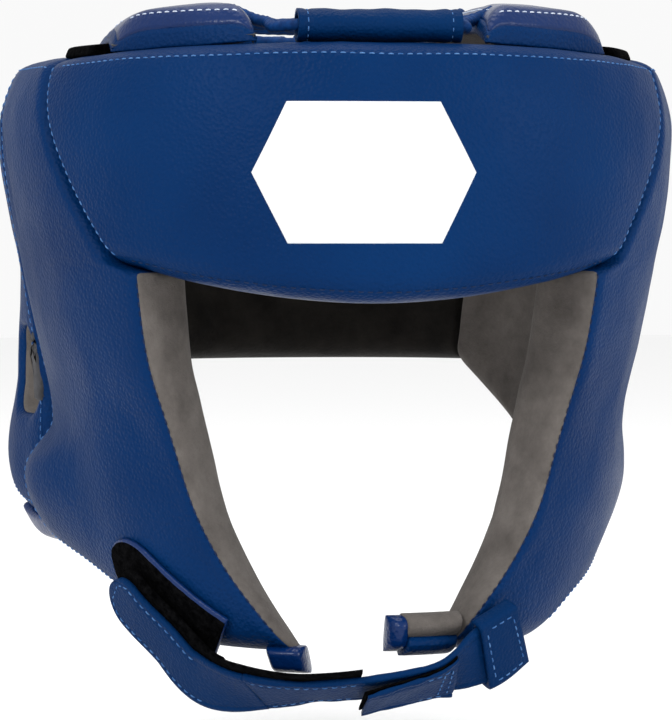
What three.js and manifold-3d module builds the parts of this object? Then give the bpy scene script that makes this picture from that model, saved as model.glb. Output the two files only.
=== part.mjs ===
// Boxing headgear with an open face: padded shell, crown pads with a lace, rear closure and chin strap.
// Millimetres, +Z up. The wearer faces -Y, so the wearer's left is +X. z = 0 is the brow edge.
import * as THREE from 'three';
import Module from 'manifold-3d';
import { mergeVertices } from 'three/addons/utils/BufferGeometryUtils.js';

const wasm = await Module();
wasm.setup();

// ---------- driving dimensions ----------
const SQUARENESS = 2.3; // power of the super-ellipse that every plan section follows
const WIDEST_Y = 15; // the widest line of the shell, behind the middle of the head
const SKIN = 1.4; // thickness of leather and suede
const GAP = 0.35; // clearance between touching pieces
const FOAM_GAP = 1; // clearance between a foam core and its skins
const FOAM_INSET = 0.012; // how far the foam stops short of a pad's edge, as a share of the pad
const SEAM_ANGLE = 0.6; // half the width of a sewn seam between two pads, in degrees

const FOREHEAD_TOP = 82; // height of the forehead pad's top edge at its middle
const FOREHEAD_TOP_DROP = 3; // how much lower that edge is at the side seams
const BROW_RISE = 11; // how much higher the brow edge is at the corners of the face opening
const FOREHEAD_THICKNESS = 27;
const CORNER_Z = 10; // corner of the face opening
const CHEEK_TOP = 80;
const CHIN_Z = -112; // lowest point of the cheek pads
const CHEEK_ROWS = 14; // rows of each cheek pad's mesh
const CORNER_ROW = 9; // the row just below the corner of the face opening
const JAW_FLARE_ANGLE = 62; // where the jaw starts to flare towards the ear
const EAR_SEAM = 86; // angle of the seam between cheek pad and ear pad
const REAR_SEAM = 142; // angle of the seam between ear pad and rear pad
const EAR_THICKNESS = 22;
const LEFT_SWELL = 0.25; // how much of the bulge round the ear each side shows: the right one is pressed out
const RIGHT_SWELL = 1;
const EAR_HOLE = { y: 20, z: -26, width: 22, height: 25, corner: 7 };
const REAR_TOP = 80;
const REAR_BOTTOM = -26;
const REAR_THICKNESS = 20;

const CROWN_HEIGHT = 88.4; // underside of the crown pads, over the middle of the head
const CROWN_THICKNESS = 11;
const CROWN_INNER = 36; // crown pads start this far from the middle line
const CROWN_OUTER = 81;
const CROWN_INSET = 14; // crown pads stop this far inside the shell's outer face
const CROWN_FALL_ALONG = 0.00035; // how fast the crown drops to front and back, per mm
const CROWN_FALL_ACROSS = 0.0008; // how fast it drops to the sides, per mm
const LACE_DIAMETER = 3.6;
const SLEEVE = { length: 52, height: 10.5, depth: 15, wall: 1.6, y: -101, x: 2 };

const STRAP_WIDTH = 22;
const STRAP_THICKNESS = 2.4;
const STRAP_LIFT = 4.8; // underside of the chin strap above the skin that it closes on
const TAPE_THICKNESS = 1.1; // hook tape and loop tape
const CHIN_SLEEVE_END = 0.13; // share of the chin strap's route that its sleeve holds
const CHIN_FOLD = 0.6; // share of the route where the strap's free end starts
const REAR_STRAP = { z: 30, width: 34, from: 117, to: 244, lift: 5.9, thickness: 2.4 };
const CROWN_TAPE = { from: 57, to: 68, inner: 22, outer: 6 }; // angles, and depths inside the skin
const EAR_TAB = { to: 100, height: 6 }; // last angle, and how far it hangs under the ear pad
const PRINT = { width: 70, height: 44, point: 11, x: -5, z: 41, thickness: 0.5 };

// ---------- colours ----------
const BLUE_LEATHER = { color: 0x063a72, roughness: 0.45, metalness: 0 };
const SHINY_BLUE = { color: 0x04266a, roughness: 0.3, metalness: 0 };
const GREY_SUEDE = { color: 0x6a6560, roughness: 0.95, metalness: 0 };
const BLACK_TAPE = { color: 0x121212, roughness: 1, metalness: 0 };
const DARK_LINING = { color: 0x181614, roughness: 0.95, metalness: 0 };
const FOAM = { color: 0x2e2e30, roughness: 1, metalness: 0 };
const WHITE_PRINT = { color: 0xf2f2f2, roughness: 0.6, metalness: 0 };

const mix = THREE.MathUtils.lerp;
const vector = (x, y, z) => new THREE.Vector3(x, y, z);
const headgear = new THREE.Group();

/** Adds one named piece to the headgear. */
function piece(name, geometry, look) {
  const mesh = new THREE.Mesh(geometry, new THREE.MeshStandardMaterial(look));
  mesh.name = name;
  headgear.add(mesh);
}

/** A smooth curve through [place, value] points, level beyond its ends. */
function profile(points) {
  const last = points.length - 1;
  const slope = (k) => {
    const before = points[Math.max(k - 1, 0)];
    const after = points[Math.min(k + 1, last)];
    return (after[1] - before[1]) / (after[0] - before[0]);
  };
  return (place) => {
    if (place <= points[0][0]) return points[0][1];
    if (place >= points[last][0]) return points[last][1];
    const i = points.findIndex((point) => point[0] > place) - 1;
    const span = points[i + 1][0] - points[i][0];
    const t = (place - points[i][0]) / span;
    const blend = t * t * (3 - 2 * t);
    const lift = slope(i) * t * (1 - t) ** 2 - slope(i + 1) * t * t * (1 - t);
    return mix(points[i][1], points[i + 1][1], blend) + span * lift;
  };
}

// ---------- the outer skin, as functions of height or of angle from the front ----------
const halfWidth = profile([
  [-125, 66], [-100, 84], [-85, 90.5], [-65, 96.5], [-35, 98.5], [-15, 103], [5, 107], [58, 115], [90, 104],
]);
const frontReach = profile([[-125, 112], [-60, 124], [0, 138], [40, 140], [90, 132]]);
const backReach = profile([[-70, 92], [0, 103], [40, 105], [90, 93]]);
const openingAngle = profile([[-112, 14.5], [-100, 20], [-81, 27.5], [-52, 34.4], [-25, 39.7], [CORNER_Z, 40]]);
const foreheadSeam = profile([[CORNER_Z, 46], [40, 56], [CHEEK_TOP, 65]]);
const jawAngle = profile([[-112, 47], [-98, 58], [-88, 74], [-80, EAR_SEAM]]);
const cheekThickness = profile([[CHIN_Z, 15], [-85, 20], [-40, 23], [CORNER_Z, 26], [CHEEK_TOP, 27]]);
const earBottom = profile([[EAR_SEAM, -80], [98, -78], [120, -50], [REAR_SEAM, -26]]);
const earTop = profile([[EAR_SEAM, CHEEK_TOP], [REAR_SEAM, REAR_TOP]]);
const earBulge = profile([[-90, 10], [-55, 15], [-15, 6], [10, 0]]);
const jawFlare = profile([[-95, 0], [-78, 7], [-58, 9], [-44, 0]]); // how far the jaw stands out at the ear seam

/** The point at an angle from the front and a height, a depth inside the outer skin. */
function skinPoint(angle, z, depth) {
  const radians = THREE.MathUtils.degToRad(angle);
  const sine = Math.sin(radians);
  const cosine = Math.cos(radians);
  const reach = cosine > 0 ? frontReach(z) : backReach(z);
  const across = Math.sign(sine) * Math.abs(sine) ** (2 / SQUARENESS);
  const along = Math.sign(cosine) * Math.abs(cosine) ** (2 / SQUARENESS);
  return new THREE.Vector3(across * (halfWidth(z) - depth), WIDEST_Y - along * (reach - depth), z);
}

/** The direction that the outer skin faces. */
function skinNormal(angle, z) {
  const step = 0.5;
  const turn = skinPoint(angle + step, z, 0).sub(skinPoint(angle - step, z, 0));
  const rise = skinPoint(angle, z + step, 0).sub(skinPoint(angle, z - step, 0));
  return turn.cross(rise).normalize();
}

/** Leaves only shared positions, so that the mesh is closed. */
function closed(geometry) {
  geometry.deleteAttribute('normal');
  geometry.deleteAttribute('uv');
  return mergeVertices(geometry, 1e-4);
}

/** A box in u, v and w from 0 to 1, bent by a function that gives each corner its place. */
function bentBox(columns, rows, place) {
  const box = new THREE.BoxGeometry(1, 1, 1, columns, rows, 1);
  const corners = box.attributes.position;
  for (let i = 0; i < corners.count; i += 1) {
    const point = place(corners.getX(i) + 0.5, corners.getY(i) + 0.5, corners.getZ(i) + 0.5);
    corners.setXYZ(i, point.x, point.y, point.z);
  }
  return closed(box);
}

/** The same solid on the other side of the middle plane. */
function mirrored(geometry) {
  const copy = geometry.clone();
  copy.scale(-1, 1, 1);
  const index = copy.index.array;
  for (let i = 0; i < index.length; i += 3) {
    [index[i], index[i + 1]] = [index[i + 1], index[i]];
  }
  return copy;
}

/** Turns a closed mesh into a solid for cutting. */
function solid(geometry) {
  const vertProperties = new Float32Array(geometry.attributes.position.array);
  const triVerts = new Uint32Array(geometry.index.array);
  return new wasm.Manifold(new wasm.Mesh({ numProp: 3, vertProperties, triVerts }));
}

/** Cuts one closed mesh with another. */
function cut(geometry, tool) {
  const mesh = solid(geometry).subtract(solid(tool)).getMesh();
  const result = new THREE.BufferGeometry();
  result.setAttribute('position', new THREE.BufferAttribute(new Float32Array(mesh.vertProperties), 3));
  result.setIndex(new THREE.BufferAttribute(new Uint32Array(mesh.triVerts), 1));
  return result;
}

// ---------- pads: a leather cover outside, a foam core, and a lining against the head ----------

/** The three layers of a pad. The patch gives angle, z, bulge and thickness for u and v. */
function padLayers(columns, rows, patch) {
  const layer = (from, to, inset) => bentBox(columns, rows, (u, v, w) => {
    const { angle, z, bulge, thickness } = patch(mix(inset, 1 - inset, u), mix(inset, 1 - inset, v));
    return skinPoint(angle, z, mix(to(thickness), from(thickness), w) - bulge);
  });
  return {
    cover: layer(() => 0, () => SKIN, 0),
    foam: layer(() => SKIN + FOAM_GAP, (thickness) => thickness - SKIN - FOAM_GAP, FOAM_INSET),
    lining: layer((thickness) => thickness - SKIN, (thickness) => thickness, 0),
  };
}

function foreheadPatch(u, v) {
  const side = 2 * u - 1;
  const bottom = BROW_RISE * Math.abs(side) ** 1.6;
  const top = FOREHEAD_TOP - FOREHEAD_TOP_DROP * side ** 2;
  const z = mix(bottom, top, v);
  const angle = side * (foreheadSeam(z) - SEAM_ANGLE);
  return { angle, z, bulge: 0, thickness: FOREHEAD_THICKNESS };
}

/** Height of a cheek pad's row: even steps up to the brow, one short step under it, even steps above. */
function cheekHeight(v) {
  const row = v * CHEEK_ROWS;
  const underBrow = CORNER_Z - 2.4;
  if (row <= CORNER_ROW) return mix(CHIN_Z, underBrow, row / CORNER_ROW);
  const step = Math.min(row - CORNER_ROW, 1);
  const above = Math.max(row - CORNER_ROW - 1, 0) / (CHEEK_ROWS - CORNER_ROW - 1);
  return mix(mix(underBrow, CORNER_Z + 0.2, step), CHEEK_TOP, above);
}

const cheekPatch = (swell) => (u, v) => {
  const z = cheekHeight(v);
  const front = z > CORNER_Z ? foreheadSeam(z) + SEAM_ANGLE : openingAngle(z);
  const angle = mix(front, jawAngle(z) - SEAM_ANGLE, u);
  const towardsEar = THREE.MathUtils.smoothstep(angle, JAW_FLARE_ANGLE, EAR_SEAM);
  return { angle, z, bulge: swell * jawFlare(z) * towardsEar, thickness: cheekThickness(z) };
};

/** How far an ear pad stands out to clear the ear. */
function earBulgeAt(angle, z) {
  const share = (angle - EAR_SEAM) / (REAR_SEAM - EAR_SEAM);
  return earBulge(z) * Math.sin(Math.PI * share ** 0.7);
}

const earPatch = (swell) => (u, v) => {
  const angle = mix(EAR_SEAM + SEAM_ANGLE, REAR_SEAM - SEAM_ANGLE, u);
  const z = mix(earBottom(angle), earTop(angle), v);
  return { angle, z, bulge: swell * earBulgeAt(angle, z), thickness: EAR_THICKNESS };
};

function rearPatch(u, v) {
  const angle = mix(REAR_SEAM + SEAM_ANGLE, 360 - REAR_SEAM - SEAM_ANGLE, u);
  const z = mix(REAR_BOTTOM, REAR_TOP, v);
  return { angle, z, bulge: 0, thickness: REAR_THICKNESS };
}

/** A bar along X with rounded edges, which cuts the ear hole through an ear pad. */
function earHoleTool() {
  const { y, z, width, height, corner } = EAR_HOLE;
  const outline = new THREE.Shape();
  const right = width / 2;
  const top = height / 2;
  outline.moveTo(-right, -top + corner);
  outline.lineTo(-right, top - corner);
  outline.absarc(corner - right, top - corner, corner, Math.PI, Math.PI / 2, true);
  outline.absarc(right - corner, top - corner, corner, Math.PI / 2, 0, true);
  outline.absarc(right - corner, corner - top, corner, 0, -Math.PI / 2, true);
  outline.absarc(corner - right, corner - top, corner, -Math.PI / 2, -Math.PI, true);
  const bar = new THREE.ExtrudeGeometry(outline, { depth: 80, bevelEnabled: false, curveSegments: 4 });
  bar.rotateX(Math.PI / 2);
  bar.rotateZ(Math.PI / 2);
  bar.translate(60, y, z);
  return closed(bar);
}

function shellPads() {
  const forehead = padLayers(18, 7, foreheadPatch);
  const rear = padLayers(14, 5, rearPatch);
  piece('forehead_cover', forehead.cover, BLUE_LEATHER);
  piece('forehead_foam', forehead.foam, FOAM);
  piece('forehead_lining', forehead.lining, GREY_SUEDE);
  piece('rear_cover', rear.cover, BLUE_LEATHER);
  piece('rear_foam', rear.foam, FOAM);
  piece('rear_lining', rear.lining, DARK_LINING);
  const looks = { cover: BLUE_LEATHER, foam: FOAM, lining: GREY_SUEDE };
  for (const [side, swell, placed] of [['left', LEFT_SWELL, (shape) => shape], ['right', RIGHT_SWELL, mirrored]]) {
    const cheek = padLayers(7, CHEEK_ROWS, cheekPatch(swell));
    const ear = padLayers(7, 9, earPatch(swell));
    for (const layer of ['cover', 'foam', 'lining']) {
      piece(`${side}_cheek_${layer}`, placed(cheek[layer]), looks[layer]);
      piece(`${side}_ear_${layer}`, placed(cut(ear[layer], earHoleTool())), looks[layer]);
    }
  }
}

// ---------- crown: two pads over the top of the head, drawn together by a lace ----------

/** Height of the crown pads' underside. */
function crownHeight(x, y) {
  return CROWN_HEIGHT - CROWN_FALL_ALONG * y * y - CROWN_FALL_ACROSS * x * x;
}

/** How far the shell's outer face reaches along Y at a distance from the middle line. */
function shellReach(x, reach) {
  const share = Math.abs(x) / halfWidth(FOREHEAD_TOP);
  return reach * (1 - share ** SQUARENESS) ** (1 / SQUARENESS) - CROWN_INSET;
}

function crownPoint(u, v, lift) {
  const x = mix(CROWN_INNER, CROWN_OUTER, u);
  const front = WIDEST_Y - shellReach(x, frontReach(FOREHEAD_TOP));
  const back = WIDEST_Y + shellReach(x, backReach(FOREHEAD_TOP));
  const y = mix(front, back, v);
  return new THREE.Vector3(x, y, crownHeight(x, y) + lift);
}

function crownPads() {
  const columns = 4;
  const rows = 12;
  const layer = (from, to, inset) => bentBox(columns, rows, (u, v, w) => (
    crownPoint(mix(inset, 1 - inset, u), mix(inset, 1 - inset, v), mix(from, to, w))
  ));
  const layers = [
    ['lining', layer(0, SKIN, 0), GREY_SUEDE],
    ['foam', layer(SKIN + FOAM_GAP, CROWN_THICKNESS - SKIN - FOAM_GAP, 0.03), FOAM],
    ['cover', layer(CROWN_THICKNESS - SKIN, CROWN_THICKNESS, 0), BLUE_LEATHER],
  ];
  for (const [name, shape, look] of layers) {
    piece(`left_crown_${name}`, shape, look);
    piece(`right_crown_${name}`, mirrored(shape), look);
  }
}

/** The open leather roll on the forehead's top edge that the lace runs through. */
function laceSleeve() {
  const { length, height, depth, wall, x, y } = SLEEVE;
  const oval = (across, up) => {
    const shape = new THREE.Shape();
    shape.absellipse(0, 0, across / 2, up / 2, 0, Math.PI * 2);
    return shape;
  };
  const roll = oval(depth, height);
  roll.holes.push(oval(depth - 2 * wall, height - 2 * wall));
  const sleeve = new THREE.ExtrudeGeometry(roll, { depth: length, bevelEnabled: false, curveSegments: 8 });
  sleeve.rotateX(Math.PI / 2);
  sleeve.rotateZ(Math.PI / 2);
  sleeve.translate(x - length / 2, y, FOREHEAD_TOP + GAP + height / 2);
  piece('lace_sleeve', closed(sleeve), BLUE_LEATHER);
}

/** The braided lace: through the sleeve, twice across the crown gap and tied at the back. */
function crownLace() {
  const eyelet = CROWN_INNER + 8;
  const onPad = (x, y) => crownHeight(x, y) + CROWN_THICKNESS + LACE_DIAMETER / 2 + GAP;
  const crossing = (y, lift) => [0, y, crownHeight(0, y) + lift];
  const sleeveEnd = (side, past) => [
    SLEEVE.x + side * (SLEEVE.length / 2 + past), SLEEVE.y, FOREHEAD_TOP + GAP + SLEEVE.height / 2,
  ];
  const strand = (side, lift) => [
    sleeveEnd(side, -5),
    sleeveEnd(side, 1),
    [side * (CROWN_INNER - 5), -94, FOREHEAD_TOP + SLEEVE.height - 2],
    [side * (CROWN_INNER - 4.5), -86, onPad(CROWN_INNER, -86) - 2],
    [side * (CROWN_INNER - 0.5), -80, onPad(CROWN_INNER, -80) + 0.7],
    [side * eyelet, -76, onPad(eyelet, -76) + 0.7],
    [side * (CROWN_INNER - 1), -70, onPad(CROWN_INNER, -70)],
    crossing(-44, lift),
    [-side * (CROWN_INNER - 1), -16, onPad(CROWN_INNER, -16)],
    [-side * eyelet, -8, onPad(eyelet, -8) + 1],
    [-side * (CROWN_INNER - 1), 0, onPad(CROWN_INNER, 0)],
    crossing(28, lift),
    [side * (CROWN_INNER - 1), 56, onPad(CROWN_INNER, 56)],
    [side * eyelet, 64, onPad(eyelet, 64) + 1],
    [side * (CROWN_INNER - 1), 71, onPad(CROWN_INNER, 71)],
    [side * 8.5, 86, crownHeight(0, 86) + CROWN_THICKNESS / 2],
  ];
  const route = [...strand(-1, 0).reverse(), ...strand(1, LACE_DIAMETER + 0.6)];
  const path = new THREE.CatmullRomCurve3(route.map((place) => vector(...place)), false, 'centripetal');
  const section = new THREE.Shape();
  section.absarc(0, 0, LACE_DIAMETER / 2, 0, Math.PI * 2);
  const lace = new THREE.ExtrudeGeometry(section, { steps: 76, extrudePath: path, curveSegments: 4 });
  piece('crown_lace', closed(lace), BLUE_LEATHER);
}

/** The knot that ties the lace's two ends together over the rear pad. */
function laceKnot() {
  const knot = new THREE.SphereGeometry(7, 10, 6);
  knot.scale(1, 0.7, 0.6);
  knot.translate(0, 86, crownHeight(0, 86) + CROWN_THICKNESS / 2);
  piece('lace_knot', closed(knot), BLUE_LEATHER);
}

/** Black hook tape that holds the outer edge of each crown pad on the shell's top edge. */
function crownTapes() {
  const tape = bentBox(6, 1, (u, v, w) => (
    skinPoint(
      mix(CROWN_TAPE.from, CROWN_TAPE.to, u),
      CHEEK_TOP + GAP + v * TAPE_THICKNESS,
      mix(CROWN_TAPE.inner, CROWN_TAPE.outer, w),
    )
  ));
  piece('left_crown_tape', tape, BLACK_TAPE);
  piece('right_crown_tape', mirrored(tape), BLACK_TAPE);
}

// ---------- straps ----------

/** A place on the shell, lifted off its skin, with the way it faces; side is 1 left, -1 right. */
function onSkin(side, angle, z, lift) {
  const facing = skinNormal(angle, z);
  const at = skinPoint(angle, z, 0).addScaledVector(facing, lift);
  return { at: at.setX(side * at.x), facing: facing.setX(side * facing.x) };
}

/** The middle and the facing of a strap's route, as curves. */
function strapRoute(stations) {
  return {
    middle: new THREE.CatmullRomCurve3(stations.map((station) => station.at)),
    facing: new THREE.CatmullRomCurve3(stations.map((station) => station.facing)),
  };
}

/** A flat band along a route, between two depths measured the way that the route faces. */
function band({ route, from = 0, to = 1, width, bottom, top, columns, taper = () => 1 }) {
  return bentBox(columns, 2, (u, v, w) => {
    const along = mix(from, to, u);
    const normal = route.facing.getPoint(along).normalize();
    const across = normal.clone().cross(route.middle.getTangent(along)).normalize();
    return route.middle.getPoint(along)
      .addScaledVector(across, (width / 2) * taper(u) * (2 * v - 1))
      .addScaledVector(normal, mix(bottom, top, w));
  });
}

/** A width that rounds off a band's end, from the given share of its length. */
const roundedFrom = (start) => (u) => Math.sqrt(Math.max(1 - Math.max((u - start) / (1 - start), 0) ** 2, 0.12));

const chinRoute = strapRoute([
  onSkin(1, 30, -104, 5),
  onSkin(1, 24, -110, 5),
  { at: vector(20, -101, -118), facing: vector(0.15, -0.5, -0.85) },
  { at: vector(2, -103, -120.5), facing: vector(0, -0.4, -0.92) },
  { at: vector(-18, -102, -122), facing: vector(-0.05, -0.35, -0.94) },
  { at: vector(-36, -94, -123), facing: vector(-0.25, -0.5, -0.83) },
  onSkin(-1, 41, -118, 6),
  onSkin(-1, 47, -108, STRAP_LIFT),
  onSkin(-1, 52, -99, STRAP_LIFT),
  onSkin(-1, 56, -91, STRAP_LIFT),
]);

/** The strap from the wearer's left chin, under the chin, to the loop tape on the right cheek. */
function chinStrap() {
  const strap = { route: chinRoute, width: STRAP_WIDTH, bottom: 0, top: STRAP_THICKNESS };
  const under = { ...strap, from: CHIN_SLEEVE_END + 0.004, to: CHIN_FOLD - 0.002, columns: 14 };
  piece('chin_strap', band(under), BLUE_LEATHER);
  const end = { ...strap, from: CHIN_FOLD + 0.002, columns: 12, taper: roundedFrom(0.78) };
  piece('chin_strap_end', band(end), BLUE_LEATHER);
  const tape = { bottom: -2 * GAP - TAPE_THICKNESS, top: -2 * GAP, width: STRAP_WIDTH - 4 };
  piece('chin_hook_tape', band({ ...end, ...tape, from: CHIN_FOLD + 0.1 }), BLACK_TAPE);
  const returned = { bottom: STRAP_THICKNESS + GAP, top: STRAP_THICKNESS + GAP + 1.8, columns: 6 };
  piece('chin_strap_return', band({ ...strap, ...returned, from: 0.19, to: 0.36 }), BLUE_LEATHER);
}

/** The flat leather sleeve on the wearer's left cheek that holds the chin strap's fixed end. */
function chinSleeve() {
  const wall = 1.6;
  const around = (clearance, from, to) => band({
    route: chinRoute,
    width: STRAP_WIDTH + 2 * clearance,
    bottom: -clearance,
    top: STRAP_THICKNESS + clearance,
    columns: 5,
    from,
    to,
  });
  const sleeve = cut(around(wall + GAP, 0, CHIN_SLEEVE_END), around(GAP, 0.02, CHIN_SLEEVE_END + 0.03));
  piece('chin_strap_sleeve', sleeve, BLUE_LEATHER);
}

/** The loop tape on the wearer's right cheek. */
function chinLoop() {
  const route = strapRoute([
    onSkin(-1, 35, -111, GAP),
    onSkin(-1, 40, -105, GAP),
    onSkin(-1, 46, -97, GAP),
    onSkin(-1, 52, -89, GAP),
    onSkin(-1, 57, -81, GAP),
  ]);
  const tape = { route, width: 25, bottom: 0, top: TAPE_THICKNESS, columns: 12, taper: roundedFrom(0.7) };
  piece('chin_loop_tape', band(tape), BLACK_TAPE);
}

/** The padded tabs on the tips of the cheek pads. */
function chinTabs() {
  const tab = (fromAngle, toAngle, bottom, top) => bentBox(4, 3, (u, v, w) => (
    skinPoint(mix(fromAngle, toAngle, u), mix(bottom, top, v), mix(13, 0.5, w))
  ));
  piece('left_chin_tab', tab(2.5, 14, CHIN_Z, -100), SHINY_BLUE);
  piece('right_chin_tab', mirrored(tab(15, 22, CHIN_Z - 5, CHIN_Z - GAP)), SHINY_BLUE);
}

/** A layer outside the rear of the shell, as wide as the rear strap or narrower. */
function rearBand(from, to, width, bottom, top, columns) {
  return bentBox(columns, 2, (u, v, w) => {
    const z = REAR_STRAP.z + (v - 0.5) * width;
    return skinPoint(mix(from, to, u), z, -mix(bottom, top, w));
  });
}

/** The rear strap, sewn down on the wearer's left and closed with tape on the right. */
function rearClosure() {
  const { from, to, lift, width, thickness } = REAR_STRAP;
  piece('rear_strap', rearBand(from + 0.4, to, width, lift, lift + thickness, 20), BLUE_LEATHER);
  const hook = rearBand(to - 22, to - 2, width - 6, lift - 1.5 * GAP - TAPE_THICKNESS, lift - 1.5 * GAP, 4);
  piece('rear_hook_tape', hook, BLACK_TAPE);
  piece('rear_strap_anchor', rearBand(from - 8, from, width, 4, lift + thickness, 3), BLUE_LEATHER);
  const loop = rearBand(to - 20, to + 1, width - 4, lift - 2.6 * TAPE_THICKNESS, lift - 1.6 * TAPE_THICKNESS, 4);
  piece('rear_loop_tape', loop, BLACK_TAPE);
}

/** The shiny bound tab at the lower front corner of each ear pad. */
function earTabs() {
  const tab = (swell) => bentBox(5, 2, (u, v, w) => {
    const angle = mix(EAR_SEAM + 1, EAR_TAB.to, u);
    const z = earBottom(angle) - mix(EAR_TAB.height, GAP, v);
    return skinPoint(angle, z, mix(EAR_THICKNESS - 4, 0, w) - swell * earBulgeAt(angle, z));
  });
  piece('left_ear_tab', tab(LEFT_SWELL), SHINY_BLUE);
  piece('right_ear_tab', mirrored(tab(RIGHT_SWELL)), SHINY_BLUE);
}

/** The plain white plate printed on the forehead: a long six-sided shape. */
function foreheadPrint() {
  const plate = bentBox(12, 4, (u, v, w) => {
    const half = PRINT.width / 2 - PRINT.point * Math.abs(2 * v - 1);
    const x = PRINT.x + half * (2 * u - 1);
    const z = PRINT.z + PRINT.height * (v - 0.5);
    const share = Math.abs(x) / halfWidth(z);
    const angle = Math.sign(x) * THREE.MathUtils.radToDeg(Math.asin(share ** (SQUARENESS / 2)));
    return skinPoint(angle, z, -mix(GAP, GAP + PRINT.thickness, w));
  });
  piece('forehead_print', plate, WHITE_PRINT);
}

shellPads();
foreheadPrint();
earTabs();
crownPads();
crownTapes();
laceSleeve();
crownLace();
laceKnot();
chinSleeve();
chinStrap();
chinLoop();
chinTabs();
rearClosure();

export default headgear;
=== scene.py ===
"""Boxing headgear: the visual model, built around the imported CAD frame.

Lengths are millimetres until a mesh is made.
"""
import math

import bmesh
import bpy
import numpy as np
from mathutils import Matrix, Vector, noise
from mathutils.bvhtree import BVHTree


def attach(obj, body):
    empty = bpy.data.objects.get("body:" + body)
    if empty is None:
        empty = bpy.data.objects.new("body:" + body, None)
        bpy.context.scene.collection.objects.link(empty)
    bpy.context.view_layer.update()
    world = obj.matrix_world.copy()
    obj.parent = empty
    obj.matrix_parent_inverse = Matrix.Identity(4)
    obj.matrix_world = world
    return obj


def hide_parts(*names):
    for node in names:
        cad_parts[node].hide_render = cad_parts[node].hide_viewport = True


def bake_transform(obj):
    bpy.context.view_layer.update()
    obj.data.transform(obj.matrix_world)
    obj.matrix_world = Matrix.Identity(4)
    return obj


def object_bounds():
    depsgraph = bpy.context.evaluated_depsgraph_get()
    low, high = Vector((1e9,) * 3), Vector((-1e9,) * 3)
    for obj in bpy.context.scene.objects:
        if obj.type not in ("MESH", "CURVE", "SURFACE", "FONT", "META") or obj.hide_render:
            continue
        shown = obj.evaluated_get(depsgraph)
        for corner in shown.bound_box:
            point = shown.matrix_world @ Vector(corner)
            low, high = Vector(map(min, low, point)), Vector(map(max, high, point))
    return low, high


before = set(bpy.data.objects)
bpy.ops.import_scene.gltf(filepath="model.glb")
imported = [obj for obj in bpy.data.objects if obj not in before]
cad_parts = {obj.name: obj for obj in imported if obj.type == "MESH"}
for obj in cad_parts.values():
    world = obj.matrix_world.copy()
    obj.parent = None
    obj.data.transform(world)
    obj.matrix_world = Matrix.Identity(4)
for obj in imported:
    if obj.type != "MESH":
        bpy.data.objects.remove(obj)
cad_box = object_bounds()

MM = 0.001

# ---------- driving dimensions, the same as the CAD part's ----------
SQUARENESS = 2.3
WIDEST_Y = 15
SEAM_ANGLE = 0.12
FOREHEAD_TOP = 82
FOREHEAD_TOP_DROP = 3
BROW_RISE = 11
FOREHEAD_THICKNESS = 27
CORNER_Z = 10
CHEEK_TOP = 80
CHIN_Z = -112
JAW_FLARE_ANGLE = 62
EAR_SEAM = 86
REAR_SEAM = 142
EAR_THICKNESS = 22
SWELL = {1: 0.25, -1: 1.18}  # how much of the bulge round the ear each side shows; 1 is left
EAR_HOLE = {"y": 20, "z": -26, "width": 22, "height": 25, "corner": 7}
REAR_TOP = 80
REAR_BOTTOM = -26
REAR_THICKNESS = 20
CROWN_HEIGHT = 88.4
CROWN_THICKNESS = 11
CROWN_INNER = 36
CROWN_OUTER = 81
CROWN_INSET = 14
CROWN_FALL_ALONG = 0.00035
CROWN_FALL_ACROSS = 0.0008
LACE_DIAMETER = 3.6
LACE_SUNK = 4.2  # how deep the lace presses into the crown pads
SLEEVE = {"length": 52, "height": 10.5, "depth": 15, "wall": 1.6, "y": -101, "x": 2}
STRAP_WIDTH = 22
STRAP_THICKNESS = 2.4
STRAP_LIFT = 4.8
TAPE_THICKNESS = 1.1
GAP = 0.35
CHIN_SLEEVE_END = 0.13
CHIN_FOLD = 0.6
HOOK_SHIFT = -6.0  # how far the chin strap's hook tape is moved sideways, so that it shows beside the strap
REAR_STRAP = {"z": 30, "width": 34, "from": 117, "to": 244, "lift": 5.9, "thickness": 2.4}
PRINT = {"width": 70, "height": 44, "point": 11, "x": -5, "z": 41, "thickness": 0.5}

# ---------- finishing dimensions ----------
LEATHER = 1.2  # thickness of the leather and suede skins
SPACING = 3.2  # grid spacing over the pads
RIM_STEPS = 5  # grid lines over each rounded rim
FOAM_INSET = 2.2  # how far a foam core lies inside its pad's surface
FREE_RIM = (10.0, 2.2)  # radius and squareness of a pad's free edge
SEAM_RIM = (3.4, 2.8)  # the same where two pads are sewn together
TOP_RIM = (6.0, 2.4)  # along the shell's top edge
OPENING_RIM = (7.0, 2.6)  # round the face opening
HOLE_RIM = (3.5, 3.0)  # round the ear hole
CROWN_RIM = (7.0, 1.6)
CROWN_SIDE_RIMS = ((9.0, 1.7), (13.0, 1.6))  # the sloping inner and outer edges of a crown pad
CROWN_SKIRT = 3.5  # how much lower a crown pad hangs at its front edge
TAB_RIM = (3.0, 2.4)
EDGE_STEPS = (0.0, 0.15, 0.5, 1.1, 1.8, 2.2, 2.6, 3.0, 3.8, 5.0)  # across a strap, from its edge
STRAP_RIM = (1.3, 2.2)
SEWN = 2.6  # how far a strap's stitches lie from its edge
PITCH = 3.0  # from one stitch to the next
STITCH = 1.9  # length of a stitch
THREAD = 0.26  # radius of the thread
THREAD_SIDES = 6
EDGE_POINTS = 220  # points along a line of stitches on a pad
PATH_POINTS = 160  # points along a line of stitches on a strap
CROSS_POINTS = 20  # points along a line of stitches across a strap
CORD_SIDES = 12
BRAID_PITCH = 5.0  # length of one turn of the lace's braid
ROLL_POINTS = 36  # points round the lace sleeve
POLISH = 0.1  # how much smoother and rougher the leather gets in patches
FLOOR_DROP = 30  # how far the floor lies under the headgear
FLOOR_REACH = 4000
PUFF_PRESSURE = 4.0
PUFF_STEPS = 15
RUMPLE_SIZE = 26.0  # breadth of the soft dents in the leather
RUMPLE = 0.55
HOLE_LINING_ROWS = 2  # rings round the ear hole that the lining covers
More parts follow.
